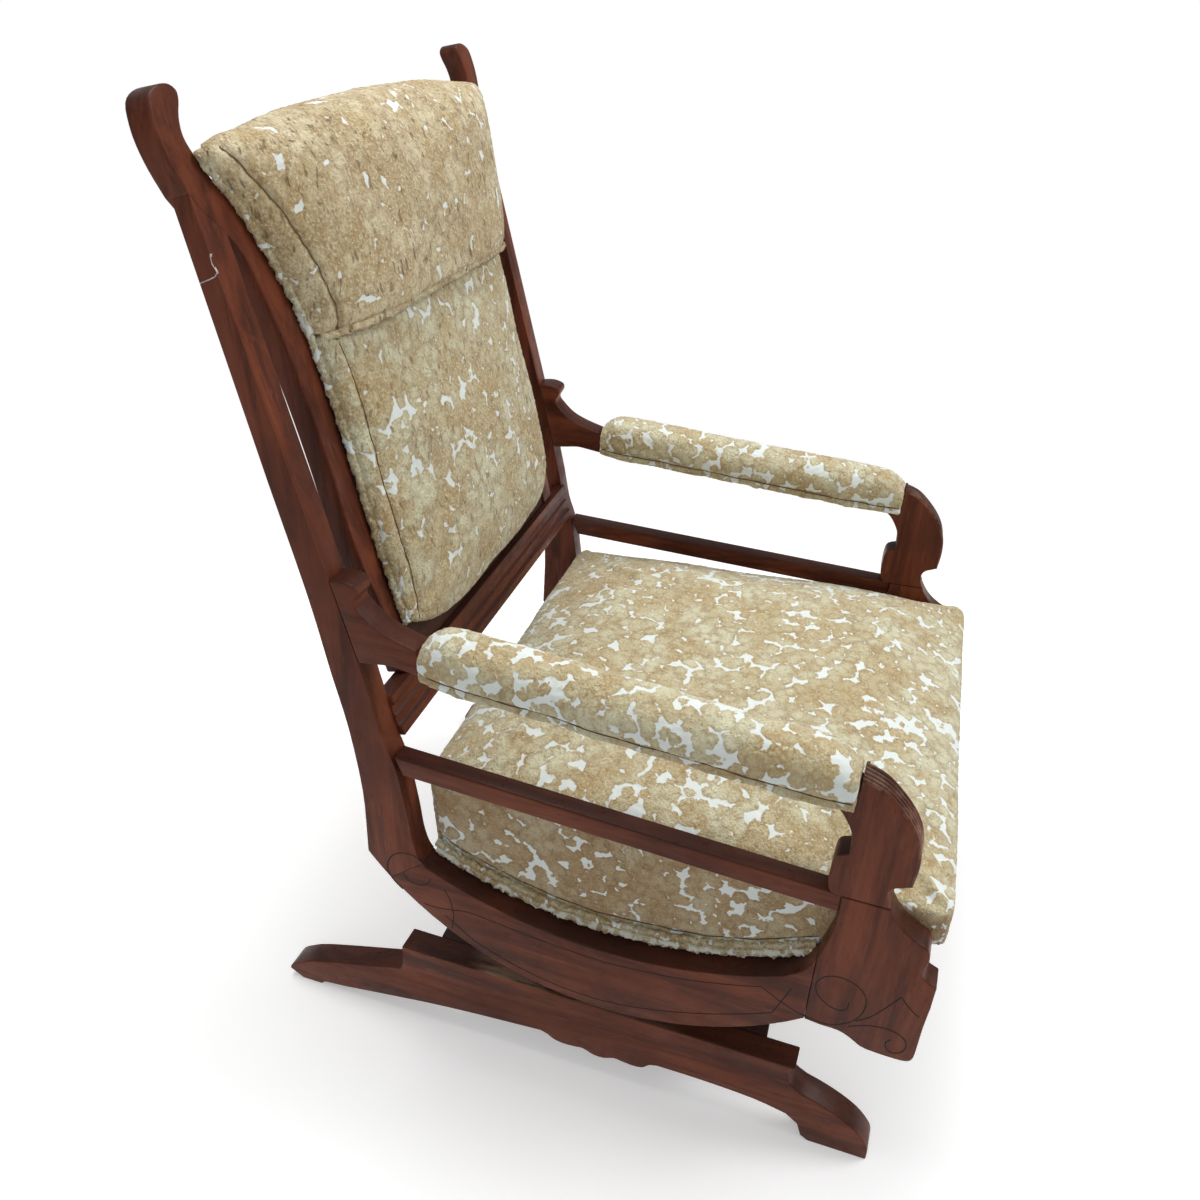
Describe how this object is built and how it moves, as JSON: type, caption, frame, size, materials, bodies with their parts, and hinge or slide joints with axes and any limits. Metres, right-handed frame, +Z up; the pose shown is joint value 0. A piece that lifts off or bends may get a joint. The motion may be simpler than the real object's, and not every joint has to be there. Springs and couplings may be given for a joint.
{
  "type": "platform rocking chair",
  "caption": "Walnut platform rocker with curved runners on a floor platform, splayed side frames, scroll arms, eared back stiles and cut velvet upholstery.",
  "frame": {"origin": "middle of the chair's depth and width, on the floor", "axes": "+Z up, the sitter faces -Y, +X to the sitter's left"},
  "size_m": [0.6864, 0.7872, 1.0538],
  "materials": {
    "walnut": "satin varnish, worn at the edges",
    "frame_wood": "dull stain",
    "velvet": "sculpted cut velvet",
    "webbing": "woven jute",
    "cambric": "matt weave",
    "bracket_iron": "black japan",
    "spring_steel": "dull drawn wire"
  },
  "bodies": {
    "platform": {"platform_beam_right": "walnut", "platform_beam_left": "walnut", "platform_front_board": "frame_wood", "platform_rear_board": "frame_wood", "lower_spring_bracket_right": "bracket_iron", "lower_spring_bracket_left": "bracket_iron", "platform_screws": "spring_steel"},
    "centring_springs": {"coil_springs_right": "spring_steel", "coil_springs_left": "spring_steel"},
    "chair": {"runner_right": "walnut", "runner_left": "walnut", "rear_post_right": "walnut", "rear_post_left": "walnut", "front_post_right": "walnut", "front_post_left": "walnut", "arm_scroll_right": "walnut", "arm_scroll_left": "walnut", "arm_right": "walnut", "arm_left": "walnut", "side_rail_right": "walnut", "side_rail_left": "walnut", "arm_pad_right": "velvet", "arm_pad_left": "velvet", "back_stile_right": "walnut", "back_stile_left": "walnut", "back_top_rail": "frame_wood", "back_bottom_rail": "frame_wood", "moulded_back_rail": "walnut", "outside_back": "velvet", "back_pad": "velvet", "headrest_pad": "velvet", "seat_front_rail": "frame_wood", "seat_rear_rail": "frame_wood", "seat_side_rail_right": "frame_wood", "seat_side_rail_left": "frame_wood", "seat_webbing": "webbing", "seat_springs": "spring_steel", "seat_cushion": "velvet", "seat_skirt": "velvet", "dust_cover": "cambric", "upper_spring_bracket_right": "bracket_iron", "upper_spring_bracket_left": "bracket_iron", "chair_screws": "spring_steel"}
  },
  "joints": [
    {"name": "rock_travel", "type": "slide", "parent": "platform", "child": "centring_springs", "axis": [0, 1, 0], "range_m": [-0.057, 0.081], "stiffness_N_per_m": 300},
    {"name": "rock", "type": "hinge", "parent": "centring_springs", "child": "chair", "pos_m": [0, -0.03887, 0.4735], "axis": [-1, 0, 0], "range_deg": [-9, 13], "stiffness_Nm_per_rad": 200, "springref_deg": -2.82, "deforming": ["coil_springs_right", "coil_springs_left"]}
  ],
  "couplings": [
    {"joint": "rock_travel", "follows": "rock", "m_per_rad": 0.347}
  ]
}
